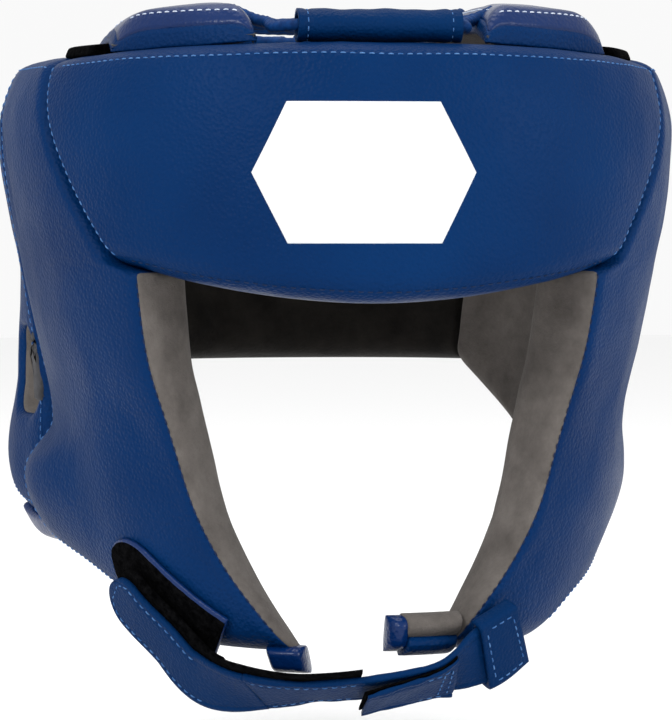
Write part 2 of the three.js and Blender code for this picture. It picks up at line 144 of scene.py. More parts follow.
CROWN_SEAT = 0.85  # how low in a crown pad its edges meet, from 0 at the top to 1
WALL_CELLS = 2  # cells from a crown pad's edge that its wall covers


# ---------- curves and the outer skin ----------

def profile(points):
    """A smooth curve through (place, value) points, level beyond its ends."""
    places = np.array([p[0] for p in points], float)
    values = np.array([p[1] for p in points], float)
    last = len(points) - 1
    before = np.maximum(np.arange(last + 1) - 1, 0)
    after = np.minimum(np.arange(last + 1) + 1, last)
    slopes = (values[after] - values[before]) / (places[after] - places[before])

    def curve(place):
        place = np.clip(place, places[0], places[-1])
        i = np.clip(np.searchsorted(places, place, side="right") - 1, 0, last - 1)
        span = places[i + 1] - places[i]
        t = (place - places[i]) / span
        blend = t * t * (3 - 2 * t)
        lift = slopes[i] * t * (1 - t) ** 2 - slopes[i + 1] * t * t * (1 - t)
        return mix(values[i], values[i + 1], blend) + span * lift

    return curve


def mix(a, b, t):
    return a + (b - a) * t


half_width = profile([(-125, 66), (-100, 84), (-85, 90.5), (-65, 96.5), (-35, 98.5), (-15, 103), (5, 107),
                      (58, 115), (90, 104)])
front_reach = profile([(-125, 112), (-60, 124), (0, 138), (40, 140), (90, 132)])
back_reach = profile([(-70, 92), (0, 103), (40, 105), (90, 93)])
opening_angle = profile([(-112, 14.5), (-100, 20), (-81, 27.5), (-52, 34.4), (-25, 39.7), (CORNER_Z, 40)])
forehead_seam = profile([(CORNER_Z, 46), (40, 56), (CHEEK_TOP, 65)])
jaw_angle = profile([(-112, 47), (-98, 58), (-88, 74), (-80, EAR_SEAM)])
cheek_thickness = profile([(CHIN_Z, 15), (-85, 20), (-40, 23), (CORNER_Z, 26), (CHEEK_TOP, 27)])
ear_bottom = profile([(EAR_SEAM, -80), (98, -78), (120, -50), (REAR_SEAM, REAR_BOTTOM)])
ear_top = profile([(EAR_SEAM, CHEEK_TOP), (REAR_SEAM, REAR_TOP)])
ear_bulge = profile([(-90, 10), (-55, 15), (-15, 6), (10, 0)])
jaw_flare = profile([(-95, 0), (-78, 7), (-58, 9), (-44, 0)])


def skin_point(angle, z, depth):
    """The point at an angle from the front and a height, a depth inside the outer skin."""
    angle, z, depth = np.broadcast_arrays(*(np.asarray(value, float) for value in (angle, z, depth)))
    sine = np.sin(np.radians(angle))
    cosine = np.cos(np.radians(angle))
    reach = np.where(cosine > 0, front_reach(z), back_reach(z))
    across = np.sign(sine) * np.abs(sine) ** (2 / SQUARENESS)
    along = np.sign(cosine) * np.abs(cosine) ** (2 / SQUARENESS)
    return np.stack([across * (half_width(z) - depth), WIDEST_Y - along * (reach - depth), z], axis=-1)


def unit(vectors):
    return vectors / np.maximum(np.linalg.norm(vectors, axis=-1, keepdims=True), 1e-9)


def skin_normal(angle, z):
    """The direction that the outer skin faces."""
    step = 0.5
    turn = skin_point(angle + step, z, 0) - skin_point(angle - step, z, 0)
    rise = skin_point(angle, z + step, 0) - skin_point(angle, z - step, 0)
    return unit(np.cross(turn, rise))


def skin_angle(x, z):
    """The angle at which the outer skin reaches x at a height, in the front half."""
    share = np.clip(np.abs(x) / half_width(z), 0, 1)
    return np.sign(x) * np.degrees(np.arcsin(share ** (SQUARENESS / 2)))


# ---------- where each pad lies: places for u, v and a share w of the way in ----------

def forehead_place(u, v, w):
    side = 2 * u - 1
    bottom = BROW_RISE * np.abs(side) ** 1.6
    z = mix(bottom, FOREHEAD_TOP - FOREHEAD_TOP_DROP * side ** 2, v)
    return skin_point(side * (forehead_seam(z) - SEAM_ANGLE), z, w * FOREHEAD_THICKNESS)


def cheek_place(side):
    def place(u, v, w):
        z = mix(CHIN_Z, CHEEK_TOP, v)
        front = np.where(z > CORNER_Z, forehead_seam(z) + SEAM_ANGLE, opening_angle(z))
        angle = mix(front, jaw_angle(z) - SEAM_ANGLE, u)
        towards_ear = np.clip((angle - JAW_FLARE_ANGLE) / (EAR_SEAM - JAW_FLARE_ANGLE), 0, 1)
        flare = SWELL[side] * jaw_flare(z) * towards_ear ** 2 * (3 - 2 * towards_ear)
        return skin_point(angle, z, w * cheek_thickness(z) - flare)

    return place


def ear_swell(angle, z, side):
    share = np.clip((angle - EAR_SEAM) / (REAR_SEAM - EAR_SEAM), 0, 1)
    return SWELL[side] * ear_bulge(z) * np.sin(math.pi * share ** 0.7)


def ear_place(side):
    def place(u, v, w):
        angle = mix(EAR_SEAM + SEAM_ANGLE, REAR_SEAM - SEAM_ANGLE, u)
        z = mix(ear_bottom(angle), ear_top(angle), v)
        return skin_point(angle, z, w * EAR_THICKNESS - ear_swell(angle, z, side))

    return place


def rear_place(u, v, w):
    angle = mix(REAR_SEAM + SEAM_ANGLE, 360 - REAR_SEAM - SEAM_ANGLE, u)
    return skin_point(angle, mix(REAR_BOTTOM, REAR_TOP, v), w * REAR_THICKNESS)


def crown_height(x, y):
    return CROWN_HEIGHT - CROWN_FALL_ALONG * y * y - CROWN_FALL_ACROSS * x * x


def shell_reach(x, reach):
    share = np.abs(x) / half_width(FOREHEAD_TOP)
    return reach * (1 - share ** SQUARENESS) ** (1 / SQUARENESS) - CROWN_INSET


def crown_place(u, v, w):
    x = mix(CROWN_INNER, CROWN_OUTER, u)
    front = WIDEST_Y - shell_reach(x, front_reach(FOREHEAD_TOP))
    back = WIDEST_Y + shell_reach(x, back_reach(FOREHEAD_TOP))
    y = mix(front, back, v)
    skirt = CROWN_SKIRT * np.clip(1 - v * 9, 0, 1)
    return np.stack([x, y, crown_height(x, y) + CROWN_THICKNESS * (1 - w) - skirt * w], axis=-1)


# ---------- meshes ----------

def make_object(name, points, faces, smooth=True):
    """A new object from points in millimetres."""
    mesh = bpy.data.meshes.new(name)
    mesh.from_pydata((np.asarray(points) * MM).tolist(), [], [list(face) for face in faces])
    mesh.validate()
    mesh.polygons.foreach_set("use_smooth", [smooth] * len(mesh.polygons))
    obj = bpy.data.objects.new(name, mesh)
    bpy.context.scene.collection.objects.link(obj)
    return obj


def apply_modifiers(obj):
    """Replaces an object's mesh with what its modifiers make of it."""
    depsgraph = bpy.context.evaluated_depsgraph_get()
    mesh = bpy.data.meshes.new_from_object(obj.evaluated_get(depsgraph))
    obj.modifiers.clear()
    obj.data = mesh
    return obj


def vertices_of(obj):
    """An object's vertices in millimetres."""
    found = np.empty(len(obj.data.vertices) * 3)
    obj.data.vertices.foreach_get("co", found)
    return found.reshape(-1, 3) / MM


def set_vertices(obj, points):
    obj.data.vertices.foreach_set("co", (np.asarray(points) * MM).ravel())
    obj.data.update()


def finish_piece(obj, slot, body="shell", replaces=(), look=None, bend=None):
    """Gives a piece its material, from its look or else its slot, attaches it to its body unless it has a
    bend, and hides the CAD nodes that it stands for.

    A bend is the two bodies that a strap bends between, and where the bend starts and ends; these are not
    used, and a piece given a bend is only baked where it stands.
    """
    obj.data.materials.clear()
    obj.data.materials.append(LOOKS[look or slot])
    if bend:
        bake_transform(obj)
    else:
        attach(obj, body)
    if replaces:
        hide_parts(*replaces)
    return obj


# ---------- pads as pillows ----------

def rim_share(distance, rim):
    """How full a pad is at a distance from an edge: 0 on the edge, 1 past its rounded rim."""
    radius, power = rim
    inside = 1 - np.clip(distance / radius, 0, 1)
    return (1 - inside ** power) ** (1 / power)


def edge_lines(length, start_radius, end_radius, spacing):
    """Distances along a length, closer together in the rounded rim at each end."""
    turn = 1 - np.cos(np.linspace(0, math.pi / 2, RIM_STEPS + 1))
    middle = np.linspace(start_radius, length - end_radius, max(int(length / spacing), 2) + 1)
    return np.concatenate([turn[:-1] * start_radius, middle, length - turn[:-1][::-1] * end_radius])


def row_lengths(place, u, v):
    """Length along u of each row of a pad's outer face."""
    points = place(u, v, np.zeros_like(u))
    return np.linalg.norm(np.diff(points, axis=1), axis=-1).sum(axis=1)


def pillow_grid(place, rims):
    """The u and v of a pad's grid, and how full the pad is at each point."""
    left, right, bottom, top = rims
    fine = np.linspace(0, 1, 41)
    u, v = np.meshgrid(fine, fine)
    height = np.median(row_lengths(lambda a, b, w: place(b, a, w), u, v))
    rows = edge_lines(height, bottom[0], top[0], SPACING) / height
    widths = row_lengths(place, *np.meshgrid(fine, rows))
    count = max(widths) / SPACING
    lines = [edge_lines(width, left[0], right[0], width / count) / width for width in widths]
    u = np.array(lines)
    v = np.repeat(rows[:, None], u.shape[1], axis=1)
    across = u * widths[:, None]
    full = rim_share(across, left) * rim_share(widths[:, None] - across, right)
    full *= rim_share(v * height, bottom) * rim_share((1 - v) * height, top)
    return u, v, full


def hole_distance(x, y, centre):
    """Distance outside the ear hole's rounded outline, negative inside it."""
    corner = EAR_HOLE["corner"]
    beside = np.abs(x - centre[0]) - EAR_HOLE["width"] / 2 + corner
    above = np.abs(y - centre[1]) - EAR_HOLE["height"] / 2 + corner
    outside = np.hypot(np.maximum(beside, 0), np.maximum(above, 0))
    return outside + np.minimum(np.maximum(beside, above), 0) - corner


def ring_grid(place, rims):
    """The same as pillow_grid, for rings that run from the ear hole out to the pad's edges."""
    left, right, bottom, top = rims
    fine = np.linspace(0, 1, 161)
    u, v = np.meshgrid(fine, fine)
    middle = place(u, v, np.full_like(u, 0.5))
    gap = middle[..., 1:] - [EAR_HOLE["y"], EAR_HOLE["z"]]
    row, column = np.unravel_index(np.argmin(np.linalg.norm(gap, axis=-1)), u.shape)
    along = np.concatenate([[0], np.cumsum(np.linalg.norm(np.diff(middle[row], axis=0), axis=-1))])
    width = along[-1]
    height = np.median(row_lengths(lambda a, b, w: place(b, a, w), u, v))
    centre = np.array([along[column], v[row, column] * height])
    across = np.linspace(0, width, int(width / SPACING))
    up = np.linspace(0, height, int(height / SPACING))
    outline = np.concatenate([
        np.stack([across, np.full_like(across, height)], axis=-1)[:-1],
        np.stack([np.full_like(up, width), up[::-1]], axis=-1)[:-1],
        np.stack([across[::-1], np.zeros_like(across)], axis=-1)[:-1],
        np.stack([np.zeros_like(up), up], axis=-1)[:-1],
    ])
    away = outline - centre
    inside, outside = np.zeros(len(away)), np.ones(len(away))
    for _ in range(24):
        middle = (inside + outside) / 2
        x, y = (centre + away * middle[:, None]).T
        within = hole_distance(x, y, centre) < 0
        inside, outside = np.where(within, middle, inside), np.where(within, outside, middle)
    reach = np.linalg.norm(away, axis=1) * (1 - outside)
    count = max(reach) / SPACING
    lines = np.array([edge_lines(r, HOLE_RIM[0], bottom[0] / 2, r / count) / r for r in reach]).T
    share = outside + (1 - outside) * lines
    x = centre[0] + away[:, 0] * share
    y = centre[1] + away[:, 1] * share
    full = rim_share(hole_distance(x, y, centre), HOLE_RIM)
    full *= rim_share(x, left) * rim_share(width - x, right)
    full *= rim_share(y, bottom) * rim_share(height - y, top)
    return np.interp(x, along, fine), y / height, full


def pillow_mesh(place, u, v, full, ring=False, seat=0.5):
    """Points and faces of a closed pad, and the grid cell of each face on its outside.

    The seat is how far in the two sides meet at the edge: 0.5 is half way.
    """
    rows, columns = u.shape
    outer = np.arange(rows * columns).reshape(rows, columns)
    edge = rim_points(u, ring)
    inner = outer.copy()
    inner[~edge] = rows * columns + np.arange((~edge).sum())
    outside = place(u, v, seat * (1 - full))
    inside = place(u, v, seat + (1 - seat) * full)[~edge]
    points = np.concatenate([outside.reshape(-1, 3), inside])
    wrap = columns if ring else columns - 1
    i, j = np.meshgrid(np.arange(rows - 1), np.arange(wrap), indexing="ij")
    k = (j + 1) % columns

    def quads(index, flip):
        corners = [index[i, j], index[i, k], index[i + 1, k], index[i + 1, j]]
        return np.stack(corners[::-1] if flip else corners, axis=-1).reshape(-1, 4)

    faces = np.concatenate([quads(outer, False), quads(inner, True)])
    cells = np.stack([i.ravel(), j.ravel()], axis=-1)
    return points, faces, cells


def mirrored(points, faces):
    """The same mesh on the other side of the middle plane."""
    return points * [-1, 1, 1], faces[:, ::-1]


def rim_points(u, ring):
    """Which points of a pad's grid its outside and inside share."""
    edge = np.zeros(u.shape, bool)
    edge[[0, -1], :] = True
    if not ring:
        edge[:, [0, -1]] = True
    return edge


def puff(obj, pinned, cap):
    """Swells a closed pad with cloth simulation and keeps every point within a cap."""
    rest = vertices_of(obj)
    group = obj.vertex_groups.new(name="pinned")
    group.add([int(i) for i in pinned], 1.0, "REPLACE")
    cloth = obj.modifiers.new("cloth", "CLOTH")
    cloth.settings.vertex_group_mass = "pinned"
    cloth.settings.quality = 4
    cloth.settings.mass = 0.3
    cloth.settings.tension_stiffness = 18
    cloth.settings.compression_stiffness = 12
    cloth.settings.shear_stiffness = 8
    cloth.settings.bending_stiffness = 1.5
    cloth.settings.use_pressure = True
    cloth.settings.uniform_pressure_force = PUFF_PRESSURE
    cloth.settings.effector_weights.gravity = 0
    scene = bpy.context.scene
    for step in range(1, PUFF_STEPS + 1):
        scene.frame_set(step)
    swollen = obj.evaluated_get(bpy.context.evaluated_depsgraph_get()).to_mesh()
    moved = np.empty(len(rest) * 3)
    swollen.vertices.foreach_get("co", moved)
    obj.modifiers.clear()
    obj.vertex_groups.clear()
    scene.frame_set(1)
    shift = moved.reshape(-1, 3) / MM - rest
    length = np.linalg.norm(shift, axis=1, keepdims=True)
    set_vertices(obj, rest + shift * np.minimum(1, cap / np.maximum(length, 1e-6)))


def normals_of(obj):
    found = np.empty(len(obj.data.vertices) * 3)
    obj.data.vertices.foreach_get("normal", found)
    return found.reshape(-1, 3)


def rumple(obj, size, amount, keep=None):
    """Moves a piece's surface in and out by smooth noise, as leather lies over foam."""
    points = vertices_of(obj)
    waves = np.array([noise.noise(Vector(point / size)) + 0.4 * noise.noise(Vector(point / size * 2.7))
                      for point in points])
    if keep is not None:
        waves[keep] = 0
    set_vertices(obj, points + normals_of(obj) * waves[:, None] * amount)


def skin_piece(name, obj, faces):
    """A closed skin over some of a pad's faces, smoothed once and thickened inwards."""
    used = np.unique(faces)
    renumber = np.full(len(obj.data.vertices), -1)
    renumber[used] = np.arange(len(used))
    skin = make_object(name, vertices_of(obj)[used], renumber[faces])
    smoothing = skin.modifiers.new("smoothing", "SUBSURF")
    smoothing.levels = 1
    smoothing.render_levels = 1
    solidify = skin.modifiers.new("thickness", "SOLIDIFY")
    solidify.thickness = LEATHER * MM
    solidify.offset = -1
    return apply_modifiers(skin)


def foam_piece(name, obj, faces):
    """A pad's foam core: the pad's own shape, shrunk to lie inside its skins."""
    core = make_object(name, vertices_of(obj), faces)
    set_vertices(core, vertices_of(core) - normals_of(core) * FOAM_INSET)
    return core


PADS = {}


def make_pad(name, place, rims, side=1, cap=1.5, leather_from=0.0, lining="grey_suede", ring=False, top=None,
             seat=0.5):
    """One pad: leather cover, foam core and lining, all from the same swollen pillow.

    leather_from is how far from the front edge, in mm, the leather starts below the brow. In a pad with a
    ring the lining comes out through the ear hole. A top look covers the flat top of a pad on its own.
    """
    u, v, full = (ring_grid if ring else pillow_grid)(place, rims)
    points, faces, cells = pillow_mesh(place, u, v, full, ring, seat)
    if side < 0:
        points, faces = mirrored(points, faces)
    pad = make_object(name + "_shape", points, faces)
    pinned = np.flatnonzero(rim_points(u, ring).ravel())
    puff(pad, pinned, cap)
    rumple(pad, RUMPLE_SIZE, RUMPLE, keep=pinned)
    outside = np.arange(len(faces)) < len(cells)
    row, column = np.tile(cells, (2, 1)).T
    heights = points[:, 2][faces].max(axis=1)
    if ring:
        is_leather = outside & (row >= HOLE_LINING_ROWS)
    elif top:
        last_row, last_column = u.shape[0] - 2, u.shape[1] - 2
        from_edge = np.minimum.reduce([row, last_row - row, column, last_column - column])
        is_leather = from_edge < WALL_CELLS
    else:
        middle = len(u) // 2
        first = int(np.argmax(u[middle] * row_lengths(place, u, v)[middle] > leather_from))
        is_leather = outside & ((column >= first) | (heights > CORNER_Z))
    is_top = outside & ~is_leather if top else np.zeros(len(faces), bool)
    cover = skin_piece(name + "_leather", pad, faces[is_leather])
    suede_lining = skin_piece(name + "_suede", pad, faces[~is_leather & ~is_top])
    foam_core = foam_piece(name + "_core", pad, faces)
    finish_piece(cover, "blue_leather", replaces=[name + "_cover"])
    finish_piece(suede_lining, lining, replaces=[name + "_lining"])
    finish_piece(foam_core, "foam_core", replaces=[name + "_foam"])
    trees = [surface_tree(cover)]
    if top:
        binding = skin_piece(name + "_top", pad, faces[is_top])
        finish_piece(binding, top)
        trees.append(surface_tree(binding))
    PADS[name] = {"place": place, "side": side, "trees": trees}
    bpy.data.objects.remove(pad)


def surface_tree(obj):
    return BVHTree.FromObject(obj, bpy.context.evaluated_depsgraph_get())


def nearest_on(trees, point):
    """The nearest place on any of the trees, and the way that the surface faces there, in millimetres."""
    hits = [tree.find_nearest(Vector(point) * MM) for tree in trees]
    place, normal, _, _ = min(hits, key=lambda hit: hit[3])
    return np.array(place) / MM, np.array(normal)


def on_pad(name, u, v):
    """Points and normals on a pad's leather, nearest to places of its patch."""
    pad = PADS[name]
    guesses = pad["place"](u, v, np.zeros_like(u)) * [pad["side"], 1, 1]
    found = [nearest_on(pad["trees"], guess) for guess in guesses]
    return np.array([place for place, _ in found]), np.array([normal for _, normal in found])


def edge_path(name, edge, inset, start=0.03, end=0.97):
    """A line on a pad, as points and normals, at a distance from one of its edges."""
    place = PADS[name]["place"]
    run = np.linspace(start, end, EDGE_POINTS)
    across = np.linspace(0, 1, 25)
    u, v = np.meshgrid(across, run)
    if edge in ("left", "right"):
        share = inset / row_lengths(place, u, v)
        return on_pad(name, share if edge == "left" else 1 - share, run)
    share = inset / row_lengths(lambda a, b, w: place(b, a, w), u, v)
    return on_pad(name, run, share if edge == "bottom" else 1 - share)


def cushion(name, place, rims, slot, side=1, replaces=()):
    """A small closed piece with rounded edges, such as a bound tab."""
    u, v, full = pillow_grid(place, rims)
    points, faces, _ = pillow_mesh(place, u, v, full)
    if side < 0:
        points, faces = mirrored(points, faces)
    obj = make_object(name, points, faces)
    smoothing = obj.modifiers.new("smoothing", "SUBSURF")
    smoothing.levels = 1
    return finish_piece(apply_modifiers(obj), slot, replaces=replaces)


# ---------- straps, tubes and stitches ----------

def spline(points):
    """A centripetal Catmull-Rom curve through points, for shares from 0 to 1."""
    points = np.asarray(points, float)
    padded = np.concatenate([[2 * points[0] - points[1]], points, [2 * points[-1] - points[-2]]])
    steps = np.linalg.norm(np.diff(padded, axis=0), axis=1) ** 0.5

    def curve(share):
        place = np.clip(np.asarray(share, float), 0, 1) * (len(points) - 1)
        i = np.minimum(place.astype(int), len(points) - 2)
        t = (place - i)[..., None]
        before, start, end, after = (padded[i + k] for k in range(4))
        d0, d1, d2 = (steps[i + k][..., None] for k in range(3))
        leave = d1 * ((start - before) / d0 - (end - before) / (d0 + d1) + (end - start) / d1)
        arrive = d1 * ((end - start) / d1 - (after - start) / (d1 + d2) + (after - end) / d2)
        bend = 3 * (end - start) - 2 * leave - arrive
        return start + leave * t + bend * t ** 2 + (2 * (start - end) + leave + arrive) * t ** 3

    return curve


def on_skin(side, angle, z, lift):
    """A place on the shell, lifted off its skin, with the way it faces."""
    facing = skin_normal(angle, z)
    at = skin_point(angle, z, 0) + facing * lift
    return at * [side, 1, 1], facing * [side, 1, 1]


def strap_route(stations):
    """The middle, the direction across and the facing of a strap, for shares of its route."""
    middle = spline([at for at, _ in stations])
    facing = spline([way for _, way in stations])

    def frame_at(share):
        share = np.asarray(share, float)
        normal = unit(facing(share))
        along = unit(middle(np.minimum(share + 1e-3, 1)) - middle(np.maximum(share - 1e-3, 0)))
        return middle(share), unit(np.cross(normal, along)), normal

    return frame_at


def loft(name, sections, ring=False):
    """A closed mesh through loops of points: capped at both ends, or joined end to end as a ring."""
    sections = np.asarray(sections)
    rows, columns = sections.shape[:2]
    index = np.arange(rows * columns).reshape(rows, columns)
    i, j = np.meshgrid(np.arange(rows if ring else rows - 1), np.arange(columns), indexing="ij")
    k = (j + 1) % columns
    after = (i + 1) % rows
    corners = [index[i, j], index[i, k], index[after, k], index[after, j]]
    faces = np.stack(corners, axis=-1).reshape(-1, 4).tolist()
    if not ring:
        faces += [index[0][::-1].tolist(), index[-1].tolist()]
    obj = make_object(name, sections.reshape(-1, 3), faces)
    shape = bmesh.new()
    shape.from_mesh(obj.data)
    bmesh.ops.recalc_face_normals(shape, faces=shape.faces)
    shape.to_mesh(obj.data)
    shape.free()
    return obj


def strap_outline(width, bottom, top, sunk=0.3):
    """Points round a strap's cross-section: across and height, with rounded edges and a sunk stitch line."""
    left = np.array(EDGE_STEPS)
    across = np.concatenate([left, [width / 2], width - left[::-1]])
    near = np.minimum(across, width - across)
    half = (top - bottom) / 2 * rim_share(near, STRAP_RIM)
    dip = sunk * np.exp(-((near - SEWN) / 0.55) ** 2)
    middle = (top + bottom) / 2
    upper = np.stack([across - width / 2, middle + half - dip], axis=-1)
    lower = np.stack([across - width / 2, middle - half], axis=-1)[1:-1]
    return np.concatenate([upper, lower[::-1]])


def strap_shares(start, end, count, round_from=None):
    """Shares along a strap and its width at each: full, or rounded off from a share of its length."""
    if round_from is None:
        shares = np.linspace(0, 1, count)
        return mix(start, end, shares), np.ones(count)
    tip = mix(round_from, 1, np.sin(np.linspace(0, math.pi / 2, 14))[1:])
    shares = np.concatenate([np.linspace(0, round_from, count), tip])
    inside = np.maximum((shares - round_from) / (1 - round_from), 0)
    return mix(start, end, shares), np.sqrt(np.maximum(1 - inside ** 2, 0.003))


def band(name, route, width, bottom, top, start=0.0, end=1.0, round_from=None, sunk=0.3, count=70, shift=0.0,
         rise=0.0):
    """A flat strap along a route, between two depths measured the way that the route faces.

    A shift moves it sideways, and a rise lifts its start off what it lies on.
    """
    shares, taper = strap_shares(start, end, count, round_from)
    outline = strap_outline(width, bottom, top, sunk)
    middle, across, normal = (part[:, None] for part in route(shares))
    wide = outline[None, :, 0, None] * taper[:, None, None] + shift
    lifted = rise * ((end - shares) / (end - start)) ** 2
    return loft(name, middle + across * wide + normal * (outline[None, :, 1, None] + lifted[:, None, None]))


def skin_route(angle_from, angle_to, z):
    """A level route round the shell's skin."""
    def frame_at(share):
        angle = mix(angle_from, angle_to, np.asarray(share, float))
        level = np.full_like(angle, z)
        middle = skin_point(angle, level, 0)
        outward = middle - skin_point(angle, level, 1)
        return middle, np.broadcast_to([0.0, 0.0, 1.0], middle.shape), outward

    return frame_at


def border_path(route, width, height, start, end, round_from):
    """A line of stitches round a strap's rounded end: up one side, round the end and back."""
    shares, taper = strap_shares(start, end, PATH_POINTS, round_from)
    middle, across, normal = route(shares)
    half = np.maximum(width / 2 * taper - SEWN, 0)[:, None]
    tip = slice(0, np.argmax(half[:, 0] < SEWN) or None)
    one, other = middle + across * half, middle - across * half
    points = np.concatenate([one[tip], other[tip][::-1]])
    normals = np.concatenate([normal[tip], normal[tip][::-1]])
    return points + normals * height, normals


def side_path(route, side, width, height, start, end):
    """A line of stitches along one side of a strap."""
    shares = np.linspace(start, end, PATH_POINTS)
    middle, across, normal = route(shares)
    return middle + across * side * (width / 2 - SEWN) + normal * height, normal


def cross_path(route, share, width, height):
    """A line of stitches across a strap."""
    middle, across, normal = route(np.full(CROSS_POINTS, share))
    run = np.linspace(-1, 1, CROSS_POINTS)[:, None] * (width / 2 - SEWN)
    return middle + across * run + normal * height, normal


def stitch_row(name, paths, look="stitch_thread", body="shell"):
    """Rows of stitches along paths of points and normals: short arched threads with sunk ends."""
    ring = np.linspace(0, 2 * math.pi, THREAD_SIDES, endpoint=False)
    along = np.array([0.0, 0.12, 0.5, 0.88, 1.0])
    girth = np.array([0.3, 0.85, 1.0, 0.85, 0.3]) * THREAD
    arch = np.array([-0.6, 0.1, 0.45, 0.1, -0.6]) * THREAD
    size = THREAD_SIDES * len(along)
    points, faces = [], []
    for line, normals in paths:
        travelled = np.concatenate([[0], np.cumsum(np.linalg.norm(np.diff(line, axis=0), axis=1))])
        starts = np.arange(PITCH / 2, travelled[-1] - PITCH / 2, PITCH)
        where = starts[:, None] + along * STITCH
        centre, up = (np.stack([np.interp(where, travelled, part[:, k]) for k in range(3)], axis=-1)
                      for part in (line, normals))
        up = unit(up)
        ahead = unit(centre[:, -1:] - centre[:, :1])
        aside = np.cross(up, ahead)
        round_it = aside[:, :, None] * np.cos(ring)[:, None] + up[:, :, None] * np.sin(ring)[:, None]
        shape = centre[:, :, None] + up[:, :, None] * arch[:, None, None] + round_it * girth[:, None, None]
        base = sum(len(block) for block in points) + np.arange(len(starts))[:, None] * size
        i, j = np.divmod(np.arange(size - THREAD_SIDES), THREAD_SIDES)
        near, far, k = i * THREAD_SIDES, (i + 1) * THREAD_SIDES, (j + 1) % THREAD_SIDES
        quad = np.stack([near + j, near + k, far + k, far + j], axis=-1)
        points.append(shape.reshape(-1, 3))
        faces += (base[:, :, None] + quad).reshape(-1, 4).tolist()
        faces += (base + np.arange(THREAD_SIDES)[::-1]).tolist()
        faces += (base + np.arange(size - THREAD_SIDES, size)).tolist()
    obj = make_object(name, np.concatenate(points), faces)
    return finish_piece(obj, "lace_braid", body, look=look)


def tube(name, centre, radius, braid=0.0):
    """A round cord along a dense line of points, with a braided surface."""
    ahead = unit(np.gradient(centre, axis=0))
    aside = np.zeros_like(centre)
    aside[0] = unit(np.cross(ahead[0], [0.31, 0.2, 0.93]))
    for k in range(1, len(centre)):
        aside[k] = unit(aside[k - 1] - ahead[k] * (aside[k - 1] @ ahead[k]))
    up = np.cross(ahead, aside)
    travelled = np.concatenate([[0], np.cumsum(np.linalg.norm(np.diff(centre, axis=0), axis=1))])
    turn = np.linspace(0, 2 * math.pi, CORD_SIDES, endpoint=False)
    wave = travelled[:, None] * 2 * math.pi / BRAID_PITCH
    size = radius * (1 + braid * np.cos(2 * turn + wave) * np.cos(2 * turn - wave))
    size[[0, -1]] *= 0.6
    around = aside[:, None] * np.cos(turn)[:, None] + up[:, None] * np.sin(turn)[:, None]
    return loft(name, centre[:, None] + around * size[..., None])


# ---------- materials ----------

class Nodes:
    """A small helper to build one node material."""

    def __init__(self, name):
        self.material = bpy.data.materials.new(name)
        self.material.use_nodes = True
        self.tree = self.material.node_tree
        self.shader = self.tree.nodes["Principled BSDF"]
        self.place = self.tree.nodes.new("ShaderNodeTexCoord").outputs["Object"]

    def add(self, kind, inputs=None, **settings):
        node = self.tree.nodes.new(kind)
        for key, value in settings.items():
            setattr(node, key, value)
        for key, value in (inputs or {}).items():
            if isinstance(value, bpy.types.NodeSocket):
                self.tree.links.new(value, node.inputs[key])
            else:
                node.inputs[key].default_value = value
        return node

    def noise(self, scale, detail=3.0, roughness=0.55):
        node = self.add("ShaderNodeTexNoise",
                        {"Vector": self.place, "Scale": scale, "Detail": detail, "Roughness": roughness})
        return node.outputs["Fac"]

    def spread(self, value, low, high, to_low=0.0, to_high=1.0):
        node = self.add("ShaderNodeMapRange", {"Value": value, "From Min": low, "From Max": high,
                                               "To Min": to_low, "To Max": to_high})
        return node.outputs["Result"]

    def blend_colors(self, factor, first, second):
        node = self.add("ShaderNodeMix", data_type="RGBA")
        self.tree.links.new(factor, node.inputs[0])
        node.inputs[6].default_value = (*first, 1)
        node.inputs[7].default_value = (*second, 1)
        return node.outputs[2]

    def bump(self, height, strength, distance, under=None):
        inputs = {"Height": height, "Strength": strength, "Distance": distance}
        if under is not None:
            inputs["Normal"] = under
        return self.add("ShaderNodeBump", inputs).outputs["Normal"]

    def set(self, socket, value):
        if isinstance(value, bpy.types.NodeSocket):
            self.tree.links.new(value, self.shader.inputs[socket])
        else:
            self.shader.inputs[socket].default_value = value


def leather(name, dark, light, roughness, grain_size, grain_depth, shine):
    """Synthetic leather: pebble grain in the bump, broad patches of polish and colour."""
    n = Nodes(name)
    pebbles = n.add("ShaderNodeTexVoronoi", {"Vector": n.place, "Scale": 1 / grain_size}, feature="SMOOTH_F1")
    pebbles.inputs["Smoothness"].default_value = 0.35
    grain = n.spread(pebbles.outputs["Distance"], 0.1, 0.7)
    fine = n.noise(2.4 / grain_size, 2.0)
    broad = n.noise(14.0, 2.0)
    n.set("Base Color", n.blend_colors(n.spread(broad, 0.3, 0.7), dark, light))
    polish = n.noise(22.0, 3.0)
    n.set("Roughness", n.spread(polish, 0.3, 0.7, roughness - POLISH, roughness + POLISH))
    normal = n.bump(grain, 0.5, grain_depth)
    normal = n.bump(fine, 0.3, grain_depth, normal)
    creases = n.noise(60.0, 4.0, 0.65)
    n.set("Normal", n.bump(creases, 0.25, 0.0012, normal))
    n.set("Specular IOR Level", shine)
    return n.material


def suede(name, dark, light):
    """Brushed microfibre with a mottled nap."""
    n = Nodes(name)
    nap = n.noise(900.0, 4.0, 0.7)
    mottle = n.noise(70.0, 4.0, 0.7)
    n.set("Base Color", n.blend_colors(n.spread(mottle, 0.3, 0.7), dark, light))
    n.set("Roughness", n.spread(nap, 0.3, 0.7, 0.85, 1.0))
    n.set("Specular IOR Level", 0.1)
    n.set("Sheen Weight", 0.08)
    n.set("Sheen Roughness", 0.4)
    n.set("Normal", n.bump(nap, 0.6, 0.0006, n.bump(mottle, 0.25, 0.001)))
    return n.material


